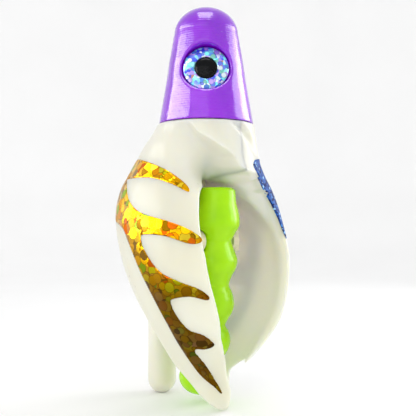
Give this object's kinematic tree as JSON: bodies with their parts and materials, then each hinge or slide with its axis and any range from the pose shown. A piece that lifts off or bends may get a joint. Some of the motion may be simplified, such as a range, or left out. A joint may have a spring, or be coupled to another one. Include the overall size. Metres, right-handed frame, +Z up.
{
  "type": "tape dispenser",
  "caption": "Bird-shaped desk tape dispenser: two open shell wings round a lobed squeeze grip, a swivelling domed head, a tail leg, and a rear tape roll with a serrated cutter.",
  "frame": {"origin": "middle of the underside of the whole object's box, on the surface it stands on", "axes": "+Z up, the grip opening faces -Y, the tape comes out at +Y, the left wing is on -X"},
  "size_m": [0.079, 0.0756, 0.1808],
  "materials": {
    "ivory_plastic": "pearly, smooth, slightly waxy",
    "violet_plastic": "glossy with fine level lines",
    "lime_plastic": "glossy",
    "gold_sequin": "overlapping holographic gold sequins under clear gloss",
    "blue_glitter": "fine blue glitter under clear gloss",
    "eye_foil": "holographic flakes under clear gloss",
    "black_gloss": "glossy",
    "frame_plastic": "moulded, fine texture",
    "steel": "brushed",
    "card": "wound card",
    "tape_film": "clear adhesive film"
  },
  "bodies": {
    "stand": {"left_body_shell": "ivory_plastic", "right_body_shell": "ivory_plastic", "tail_leg": "ivory_plastic", "left_wing_inlay": "gold_sequin", "right_wing_inlay": "blue_glitter", "spine_frame": "frame_plastic", "left_shell_screw_upper": "steel", "left_shell_screw_lower": "steel", "right_shell_screw_upper": "steel", "right_shell_screw_lower": "steel", "tail_leg_screw": "steel", "grip_pivot_pin": "steel", "cutter_pivot_pin": "steel", "cutter_return_spring": "steel", "hub_axle": "steel", "tape_shelf": "steel", "shelf_screw_left": "steel", "shelf_screw_right": "steel", "head_washer": "steel", "head_screw": "steel", "tape_leader": "tape_film"},
    "head": {"head_shell": "violet_plastic", "head_bush": "frame_plastic", "left_eye_disc": "eye_foil", "left_eye_pupil": "black_gloss", "right_eye_disc": "eye_foil", "right_eye_pupil": "black_gloss"},
    "grip": {"finger_grip": "lime_plastic"},
    "cutter": {"cutter_arm": "lime_plastic", "cutter_blade": "steel", "blade_screw_left": "steel", "blade_screw_right": "steel"},
    "roll": {"tape_hub": "frame_plastic", "tape_core": "card", "tape_roll": "tape_film"}
  },
  "joints": [
    {"name": "head_swivel", "type": "hinge", "parent": "stand", "child": "head", "pos_m": [0, -0.00816, 0.127], "axis": [0, 0, 1], "range_deg": [-40, 40]},
    {"name": "grip_squeeze", "type": "hinge", "parent": "stand", "child": "grip", "pos_m": [0, -0.01236, 0.074], "axis": [1, 0, 0], "range_deg": [0, 6], "stiffness_Nm_per_rad": 2, "springref_deg": -1.15},
    {"name": "cutter_swing", "type": "hinge", "parent": "stand", "child": "cutter", "pos_m": [0, 0.00984, 0.058], "axis": [1, 0, 0], "range_deg": [0, 13.5]},
    {"name": "roll_spin", "type": "hinge", "parent": "stand", "child": "roll", "pos_m": [0, 0.01884, 0.088], "axis": [1, 0, 0], "continuous": true}
  ],
  "couplings": [
    {"joint": "cutter_swing", "follows": "grip_squeeze", "ratio": 2.2}
  ]
}
